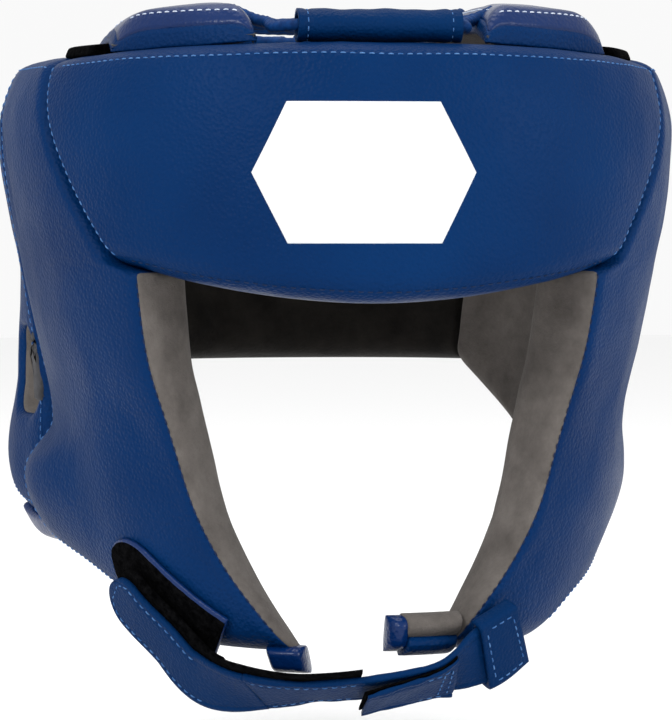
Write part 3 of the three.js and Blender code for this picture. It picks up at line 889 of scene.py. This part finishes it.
def tape(name):
    """Hook-and-loop tape: dense fuzzy loops."""
    n = Nodes(name)
    fuzz = n.noise(1500.0, 3.0, 0.8)
    clumps = n.noise(420.0, 3.0, 0.7)
    black, worn = (0.0006, 0.0006, 0.0008), (0.004, 0.004, 0.0045)
    n.set("Base Color", n.blend_colors(n.spread(clumps, 0.35, 0.65), black, worn))
    n.set("Roughness", n.spread(fuzz, 0.3, 0.7, 0.8, 1.0))
    n.set("Specular IOR Level", 0.005)
    n.set("Sheen Weight", 0.002)
    n.set("Normal", n.bump(clumps, 0.9, 0.0012, n.bump(fuzz, 0.8, 0.0006)))
    return n.material


def foam(name):
    """Closed-cell foam: fine round cells."""
    n = Nodes(name)
    cells = n.add("ShaderNodeTexVoronoi", {"Vector": n.place, "Scale": 900.0})
    n.set("Base Color", n.blend_colors(n.noise(300.0), (0.03, 0.03, 0.033), (0.07, 0.07, 0.075)))
    n.set("Roughness", n.spread(n.noise(200.0), 0.3, 0.7, 0.85, 0.98))
    n.set("Normal", n.bump(cells.outputs["Distance"], 0.4, 0.0005))
    return n.material


def thread(name, dark, light):
    """Twisted sewing thread or braid: bands of colour and a fine fibre bump."""
    n = Nodes(name)
    fibres = n.noise(2500.0, 2.0)
    n.set("Base Color", n.blend_colors(n.spread(n.noise(500.0), 0.35, 0.65), dark, light))
    n.set("Roughness", n.spread(fibres, 0.3, 0.7, 0.5, 0.75))
    n.set("Specular IOR Level", 0.1)
    n.set("Normal", n.bump(fibres, 0.5, 0.0002))
    return n.material


def printed_film(name):
    """Heat-pressed white film that lets the leather's grain show."""
    n = Nodes(name)
    pebbles = n.add("ShaderNodeTexVoronoi", {"Vector": n.place, "Scale": 900.0}, feature="SMOOTH_F1")
    n.set("Base Color", n.blend_colors(n.spread(n.noise(40.0), 0.3, 0.7), (0.8, 0.81, 0.82), (0.9, 0.9, 0.9)))
    n.set("Roughness", n.spread(n.noise(60.0), 0.3, 0.7, 0.42, 0.55))
    n.set("Normal", n.bump(pebbles.outputs["Distance"], 0.25, 0.0002))
    return n.material


LOOKS = {
    "blue_leather": leather("blue_leather", (0.0003, 0.0162, 0.072), (0.0006, 0.022, 0.092), roughness=0.44,
                            grain_size=0.0013, grain_depth=0.0004, shine=0.045),
    "strap_leather": leather("strap_leather", (0.0003, 0.0148, 0.064), (0.0006, 0.02, 0.08), roughness=0.48,
                             grain_size=0.0011, grain_depth=0.0003, shine=0.035),
    "shiny_leather": leather("shiny_leather", (0.0003, 0.0125, 0.07), (0.0006, 0.018, 0.092), roughness=0.3,
                             grain_size=0.0014, grain_depth=0.00018, shine=0.2),
    "grey_suede": suede("grey_suede", (0.072, 0.064, 0.059), (0.13, 0.117, 0.108)),
    # Painted shade: the rear pad's lining is the same grey suede as the others, coloured far darker to stand
    # for the shade deep inside the headgear
    "dark_lining": suede("dark_lining", (0.006, 0.0055, 0.005), (0.018, 0.016, 0.014)),
    "foam_core": foam("foam_core"),
    "black_tape": tape("black_tape"),
    "lace_braid": thread("lace_braid", (0.0008, 0.02, 0.09), (0.002, 0.034, 0.14)),
    "white_print": printed_film("white_print"),
    "stitch_thread": thread("stitch_thread", (0.025, 0.09, 0.25), (0.08, 0.18, 0.38)),
    "dark_thread": thread("dark_thread", (0.004, 0.012, 0.04), (0.012, 0.025, 0.07)),
    "white_thread": thread("white_thread", (0.35, 0.42, 0.55), (0.6, 0.65, 0.75)),
}


# ---------- the shell and its crown ----------

def build_shell():
    free, seam, opening, brim = FREE_RIM, SEAM_RIM, OPENING_RIM, TOP_RIM
    make_pad("forehead", forehead_place, (seam, seam, free, brim), cap=2.0)
    # the rear pad's lining is the grey suede darkened as painted shade
    make_pad("rear", rear_place, (seam, seam, free, brim), lining="dark_lining")
    for name, side in (("left", 1), ("right", -1)):
        make_pad(name + "_cheek", cheek_place(side), (opening, seam, free, brim), side, 0.9, leather_from=1.4)
        make_pad(name + "_ear", ear_place(side), (seam, seam, free, brim), side, 1.2, ring=True)
        make_pad(name + "_crown", crown_place, (*CROWN_SIDE_RIMS, CROWN_RIM, CROWN_RIM), side, 1.2,
                 top="shiny_leather", seat=CROWN_SEAT)


def sew_shell():
    """The stitch rows along the pads' edges and seams."""
    forehead_insets = {"top": 3.6, "left": 3.0, "right": 3.0}
    rear_insets = {"top": 4, "bottom": 8, "left": 3.2, "right": 3.2}
    rows = [edge_path("forehead", edge, inset) for edge, inset in forehead_insets.items()]
    rows += [edge_path("rear", edge, inset) for edge, inset in rear_insets.items()]
    dark_rows = [edge_path("forehead", "bottom", 1.6)]
    top_rows = []
    for side in ("left", "right"):
        rows.append(edge_path(side + "_cheek", "right", 3.0))
        rows += [edge_path(side + "_ear", edge, 3.0) for edge in ("left", "right")]
        rows.append(edge_path(side + "_ear", "bottom", 8))
        rows += [edge_path(side + pad, "top", 4) for pad in ("_cheek", "_ear")]
        dark_rows.append(edge_path(side + "_cheek", "left", 2.4, 0.03, 0.63))
        top_rows += [edge_path(side + "_crown", edge, 2.6, 0.08, 0.92) for edge in rear_insets]
    stitch_row("shell_stitches", rows)
    stitch_row("opening_stitches", dark_rows, look="dark_thread")
    stitch_row("crown_stitches", top_rows, look="white_thread")


def build_print():
    """The plain white six-sided plate, pressed on to the forehead leather."""
    u, v = np.meshgrid(np.linspace(0, 1, 71), np.linspace(0, 1, 41))
    half = PRINT["width"] / 2 - PRINT["point"] * np.abs(2 * v - 1)
    x = PRINT["x"] + half * (2 * u - 1)
    z = PRINT["z"] + PRINT["height"] * (v - 0.5)
    guesses = skin_point(skin_angle(x, z), z, 0).reshape(-1, 3)
    found = [nearest_on(PADS["forehead"]["trees"], guess) for guess in guesses]
    lift = PRINT["thickness"] * np.ones(u.shape)
    lift[[0, -1], :] = 0
    lift[:, [0, -1]] = 0
    points = np.array([place + normal * (0.05 + rise) for (place, normal), rise in zip(found, lift.ravel())])
    grid = np.arange(u.size).reshape(u.shape)
    faces = np.stack([grid[:-1, :-1], grid[:-1, 1:], grid[1:, 1:], grid[1:, :-1]], axis=-1).reshape(-1, 4)
    plate = make_object("forehead_plate", points, faces)
    film = plate.modifiers.new("film", "SOLIDIFY")
    film.thickness = PRINT["thickness"] * MM
    film.offset = -1
    finish_piece(apply_modifiers(plate), "white_print", replaces=["forehead_print"])


def build_tabs():
    """Shiny bound tabs on the ear pads and chin tips, and the fuzzy tapes under the crown pads."""
    def ear_tab(side):
        def place(u, v, w):
            angle = mix(EAR_SEAM + 1, 100, u)
            z = ear_bottom(angle) + mix(-6, 4, v)
            return skin_point(angle, z, w * (EAR_THICKNESS - 2) - 0.8 - ear_swell(angle, z, side))

        return place

    def chin_tab(angle_from, angle_to, bottom, top):
        return lambda u, v, w: skin_point(mix(angle_from, angle_to, u), mix(bottom, top, v), mix(-0.6, 14, w))

    def crown_tape(u, v, w):
        return skin_point(mix(57, 67, u), CHEEK_TOP + mix(-1.5, 3.5, v), mix(6, 22, w))

    for name, side in (("left", 1), ("right", -1)):
        cushion(name + "_ear_binding", ear_tab(side), (TAB_RIM,) * 4, "shiny_leather", side,
                replaces=[name + "_ear_tab"])
        cushion(name + "_crown_fuzz", crown_tape, ((1.5, 2.2),) * 4, "black_tape", side,
                replaces=[name + "_crown_tape"])
    cushion("left_chin_cap", chin_tab(2.5, 7.5, CHIN_Z, -100), ((4.0, 2.0),) * 4, "shiny_leather", 1,
            replaces=["left_chin_tab"])
    slim = ((2.0, 2.2), (2.0, 2.2), (4.0, 2.0), (4.0, 2.0))
    cushion("left_chin_tip", chin_tab(5.5, 19, -108, -99.5), slim, "grey_suede")
    cushion("left_chin_under", chin_tab(6, 19, -113.5, -105.5), slim, "blue_leather")
    cushion("right_chin_cap", chin_tab(13.5, 23.5, CHIN_Z - 7, CHIN_Z + 2), (TAB_RIM,) * 4, "shiny_leather",
            -1, replaces=["right_chin_tab"])


# ---------- the lace ----------

def sleeve_loop(across, up):
    turn = np.linspace(0, 2 * math.pi, ROLL_POINTS, endpoint=False)
    return np.stack([np.zeros(ROLL_POINTS), across / 2 * np.cos(turn), up / 2 * np.sin(turn)], axis=-1)


def build_lace_sleeve():
    """The open leather roll on the forehead's top edge, a little flattened and drawn in at its seams."""
    size = SLEEVE
    run = np.linspace(-1, 1, 90)
    place = np.array([size["x"], size["y"], FOREHEAD_TOP + 0.2 + size["height"] / 2])
    drawn = 1 - 0.07 * np.exp(-((np.abs(run) - 0.88) / 0.035) ** 2)
    soft = 1 + 0.03 * np.sin(run * 7 + 1) + 0.02 * np.sin(run * 17)
    hollow = 2 * size["wall"]

    def loop_at(x, depth, height):
        return place + [x * size["length"] / 2, 0, 0] + sleeve_loop(depth, height)

    outer = [loop_at(x, size["depth"] * d * g, size["height"] * d * g) for x, d, g in zip(run, drawn, soft)]
    inner = [loop_at(x, (size["depth"] - hollow) * d, (size["height"] - hollow) * d)
             for x, d in zip(run[::-1], drawn)]
    sleeve = loft("lace_roll", outer + inner, ring=True)
    finish_piece(sleeve, "strap_leather", replaces=["lace_sleeve"])
    rows = []
    for x in (-0.88, 0.88):
        loop = sleeve_loop(size["depth"] * 0.94, size["height"] * 0.94)
        loop = np.concatenate([loop, loop[:1]])
        rows.append((place + [x * size["length"] / 2, 0, 0] + loop, unit(loop)))
    stitch_row("lace_roll_stitches", rows)


def lace_points():
    """The lace's centreline, through the sleeve, twice across the crown gap and back to the knot."""
    eyelet = CROWN_INNER + 6

    def on_crown(x, y):
        slope = np.clip((eyelet - abs(x)) / CROWN_SIDE_RIMS[0][0], 0, 1)
        return crown_height(x, y) + CROWN_THICKNESS + LACE_DIAMETER / 2 - LACE_SUNK - 5 * slope

    def strand(side, lift):
        sleeve_end = SLEEVE["x"] + side * SLEEVE["length"] / 2
        sleeve_z = FOREHEAD_TOP + 0.35 + SLEEVE["height"] / 2
        return [
            (sleeve_end - side * 5, SLEEVE["y"], sleeve_z),
            (sleeve_end + side, SLEEVE["y"], sleeve_z),
            (side * (CROWN_INNER - 5), -94, FOREHEAD_TOP + SLEEVE["height"] / 2),
            (side * (CROWN_INNER - 4.5), -86, on_crown(CROWN_INNER, -86) - 1),
            (side * (CROWN_INNER - 0.5), -80, on_crown(CROWN_INNER, -80)),
            (side * eyelet, -76, on_crown(eyelet, -76)),
            (side * (CROWN_INNER - 1), -70, on_crown(CROWN_INNER, -70)),
            (0, -44, crown_height(0, -44) + lift),
            (-side * (CROWN_INNER - 1), -16, on_crown(CROWN_INNER, -16)),
            (-side * eyelet, -8, on_crown(eyelet, -8) + 1),
            (-side * (CROWN_INNER - 1), 0, on_crown(CROWN_INNER, 0)),
            (0, 28, crown_height(0, 28) + lift),
            (side * (CROWN_INNER - 1), 56, on_crown(CROWN_INNER, 56)),
            (side * eyelet, 64, on_crown(eyelet, 64) + 1),
            (side * (CROWN_INNER - 1), 71, on_crown(CROWN_INNER, 71)),
            (side * 8.5, 86, crown_height(0, 86) + CROWN_THICKNESS / 2),
        ]

    route = strand(-1, 0)[::-1] + strand(1, LACE_DIAMETER + 0.6)
    return spline(route)(np.linspace(0, 1, 900))


def build_lace():
    lace = tube("lace", lace_points(), LACE_DIAMETER / 2, braid=0.09)
    finish_piece(lace, "lace_braid", replaces=["crown_lace"])
    turn = np.linspace(0, 2 * math.pi, 160)
    middle = np.array([0, 86, crown_height(0, 86) + CROWN_THICKNESS / 2])
    loops = np.stack([np.sin(turn) + 2 * np.sin(2 * turn), 0.8 * (np.cos(turn) - 2 * np.cos(2 * turn)),
                      -np.sin(3 * turn) * 1.4], axis=-1)
    knot = tube("knot", middle + loops * [1.7, 1.1, 1.0], LACE_DIAMETER * 0.44, braid=0.09)
    finish_piece(knot, "lace_braid", replaces=["lace_knot"])


# ---------- the chin strap and its tapes ----------

def chin_route():
    return strap_route([
        on_skin(1, 30, -104, 5),
        on_skin(1, 24, -110, 5),
        (np.array([20, -101, -118]), np.array([0.15, -0.5, -0.85])),
        (np.array([2, -103, -120.5]), np.array([0, -0.4, -0.92])),
        (np.array([-18, -102, -122]), np.array([-0.05, -0.35, -0.94])),
        (np.array([-36, -94, -123]), np.array([-0.25, -0.5, -0.83])),
        on_skin(-1, 41, -118, 6),
        on_skin(-1, 47, -108, STRAP_LIFT),
        on_skin(-1, 52, -99, STRAP_LIFT),
        on_skin(-1, 56, -91, STRAP_LIFT),
    ])


def metres(route, share):
    """A place on a route's middle line, in metres."""
    return Vector((route(np.array([share]))[0][0] * MM).tolist())


def build_chin_strap():
    """The strap under the chin and its rounded end, which starts at the fold."""
    route = chin_route()
    fold = CHIN_FOLD - 0.045
    strap = band("chin_webbing", route, STRAP_WIDTH, 0, STRAP_THICKNESS, 0.03, fold, count=90)
    rumple(strap, 9.0, 0.35)
    mouth = ("shell", "chin_strap", metres(route, 0.115), metres(route, 0.165))
    finish_piece(strap, "strap_leather", replaces=["chin_strap"], bend=mouth)
    end = band("chin_webbing_end", route, STRAP_WIDTH, 0, STRAP_THICKNESS, fold, round_from=0.8)
    inside = band("chin_webbing_hooks", route, STRAP_WIDTH - 3, -1.2, 0.1, 0.37, fold + 0.03, sunk=0,
                  shift=HOOK_SHIFT)
    finish_piece(inside, "black_tape", "chin_strap")
    peel = ("chin_strap", "chin_strap_end", metres(route, CHIN_FOLD - 0.03), metres(route, CHIN_FOLD + 0.04))
    finish_piece(end, "strap_leather", replaces=["chin_strap_end"], bend=peel)
    hook = band("chin_hooks", route, STRAP_WIDTH - 3, -2 * GAP - TAPE_THICKNESS, 0.1, CHIN_FOLD - 0.02, 0.99,
                round_from=0.8, sunk=0, shift=HOOK_SHIFT)
    finish_piece(hook, "black_tape", "chin_strap_end", ["chin_hook_tape"])
    lower = STRAP_THICKNESS + GAP
    folded = band("chin_turnback", route, STRAP_WIDTH, lower + 0.5, lower + 2.1, 0.36, 0.19, count=40,
                  rise=3.0)
    rumple(folded, 8.0, 0.5)
    finish_piece(folded, "strap_leather", "chin_strap", ["chin_strap_return"])
    inner = band("chin_turnback_hooks", route, STRAP_WIDTH - 1, lower - 0.4, lower + 0.6, 0.365, 0.19, sunk=0,
                 count=40, rise=2.6)
    finish_piece(inner, "black_tape", "chin_strap")
    rows = [side_path(route, side, STRAP_WIDTH, STRAP_THICKNESS - 0.15, 0.37, fold) for side in (-1, 1)]
    rows += [side_path(route, side, STRAP_WIDTH, lower + 2.1, 0.2, 0.27) for side in (-1, 1)]
    rows += [cross_path(route, share, STRAP_WIDTH, lower + 2.1) for share in (0.2, 0.215)]
    stitch_row("chin_strap_stitches", rows, body="chin_strap")
    tip_row = border_path(route, STRAP_WIDTH, STRAP_THICKNESS - 0.15, CHIN_FOLD + 0.05, 0.985, round_from=0.8)
    stitch_row("chin_end_stitches", [tip_row], body="chin_strap_end")


def build_chin_sleeve():
    """The flat sleeve on the wearer's left cheek that holds the strap's fixed end."""
    route = chin_route()
    wall = 1.6
    shares = np.linspace(0.0, CHIN_SLEEVE_END, 26)
    middle, across, normal = (part[:, None] for part in route(shares))

    def sections(clearance):
        outline = strap_outline(STRAP_WIDTH + 2 * clearance, -clearance, STRAP_THICKNESS + clearance, sunk=0)
        return middle + across * outline[None, :, 0, None] + normal * outline[None, :, 1, None]

    sleeve = loft("chin_sleeve", np.concatenate([sections(wall + GAP), sections(GAP * 0.6)[::-1]]), ring=True)
    finish_piece(sleeve, "strap_leather", replaces=["chin_strap_sleeve"])
    width, top = STRAP_WIDTH + 2 * wall, STRAP_THICKNESS + wall + GAP
    rows = [side_path(route, side, width, top, 0.012, CHIN_SLEEVE_END - 0.01) for side in (-1, 1)]
    rows += [cross_path(route, share, width, top) for share in (0.02, CHIN_SLEEVE_END - 0.012)]
    stitch_row("chin_sleeve_stitches", rows)


def build_chin_loops():
    """Loop tape on the wearer's right cheek, in a thin blue bound edge."""
    route = strap_route([on_skin(-1, angle, z, GAP + 0.5) for angle, z in
                         ((35, -111), (40, -105), (46, -97), (52, -89), (57, -81))])
    tape = band("chin_loops", route, 24, -0.4, TAPE_THICKNESS, 0, 0.99, round_from=0.7, sunk=0)
    rumple(tape, 5.0, 0.3)
    finish_piece(tape, "black_tape", replaces=["chin_loop_tape"])
    edge = band("chin_loop_binding", route, 26.4, -1.2, 0.65, 0, 1, round_from=0.7, sunk=0)
    finish_piece(edge, "shiny_leather")


# ---------- the rear strap ----------

def build_rear_strap():
    size = REAR_STRAP
    lift, thick, start, end = size["lift"], size["thickness"], size["from"], size["to"]
    route = skin_route(start - 4, end, size["z"])
    strap = band("rear_webbing", route, size["width"], lift, lift + thick, 0, 1, round_from=0.86, count=130)
    rumple(strap, 14.0, 0.4)
    reach = end - start + 4
    hinge = ("shell", "rear_strap", metres(route, 3.4 / reach), metres(route, 8 / reach))
    finish_piece(strap, "strap_leather", replaces=["rear_strap"], bend=hinge)
    row = border_path(route, size["width"], lift + thick - 0.15, 0.08, 0.985, round_from=0.86)
    stitch_row("rear_strap_stitches", [row], body="rear_strap")
    hook = band("rear_hooks", skin_route(end - 22, end - 2, size["z"]), size["width"] - 6,
                lift - GAP - TAPE_THICKNESS, lift + 0.2, round_from=0.8, sunk=0)
    finish_piece(hook, "black_tape", "rear_strap", ["rear_hook_tape"])
    loops = band("rear_loops", skin_route(end - 22, end + 2, size["z"]), size["width"] - 3, 0.2,
                 lift - 1.6 * TAPE_THICKNESS, sunk=0)
    finish_piece(loops, "black_tape", replaces=["rear_loop_tape"])
    patch_route = skin_route(start - 10, start, size["z"])
    patch = band("rear_patch", patch_route, size["width"], 0.3, lift + thick + 0.6, sunk=0, count=24)
    finish_piece(patch, "strap_leather", replaces=["rear_strap_anchor"])
    top = lift + thick + 0.6
    rows = [side_path(patch_route, side, size["width"], top, 0.15, 0.85) for side in (-1, 1)]
    rows += [cross_path(patch_route, share, size["width"], top) for share in (0.2, 0.8)]
    stitch_row("rear_patch_stitches", rows)


# ---------- camera and studio ----------

def add_camera():
    """A camera a little to the wearer's right and a little above, as far off as a studio camera."""
    azimuth = math.radians(-6.5)
    elevation = math.radians(2.5)
    distance = 1.2
    aim = Vector((0.0, 0.0, -0.0225))
    back = Vector((math.sin(azimuth) * math.cos(elevation), -math.cos(azimuth) * math.cos(elevation),
                   math.sin(elevation)))
    data = bpy.data.cameras.new("camera")
    data.sensor_fit = "HORIZONTAL"
    data.sensor_width = 36
    data.lens = 186
    camera = bpy.data.objects.new("camera", data)
    camera.location = aim + back * distance
    camera.rotation_euler = back.to_track_quat("Z", "Y").to_euler()
    bpy.context.scene.collection.objects.link(camera)
    bpy.context.scene.camera = camera


def add_studio():
    """A pale floor, three soft lights and a white world."""
    bottom = cad_box[0][2] / MM - FLOOR_DROP
    corners = [(x * FLOOR_REACH, y * FLOOR_REACH, bottom) for x, y in ((-1, -1), (1, -1), (1, 1), (-1, 1))]
    floor = make_object("floor", corners, [(0, 1, 2, 3)], smooth=False)
    material = bpy.data.materials.new("floor")
    material.use_nodes = True
    material.node_tree.nodes["Principled BSDF"].inputs["Base Color"].default_value = (0.94, 0.94, 0.94, 1)
    material.node_tree.nodes["Principled BSDF"].inputs["Roughness"].default_value = 0.9
    floor.data.materials.append(material)
    world = bpy.data.worlds.new("studio")
    world.use_nodes = True
    world.node_tree.nodes["Background"].inputs["Color"].default_value = (1, 1, 1, 1)
    world.node_tree.nodes["Background"].inputs["Strength"].default_value = 0.95
    bpy.context.scene.world = world
    bpy.context.scene.view_settings.view_transform = "Standard"
    lights = (
        ("key", (-0.9, -1.2, 0.9), 14, 0.5),
        ("fill", (1.1, -1.0, 0.5), 8, 0.6),
        ("top", (0, 0.3, 1.4), 8, 1.0),
    )
    for name, place, power, size in lights:
        light = bpy.data.lights.new(name, "AREA")
        light.energy = power
        light.size = size
        lamp = bpy.data.objects.new(name, light)
        lamp.location = place
        lamp.rotation_euler = (Vector(place)).to_track_quat("Z", "Y").to_euler()
        bpy.context.scene.collection.objects.link(lamp)


add_camera()
add_studio()
build_shell()
sew_shell()
build_print()
build_tabs()
build_lace_sleeve()
build_lace()
build_chin_strap()
build_chin_sleeve()
build_chin_loops()
build_rear_strap()
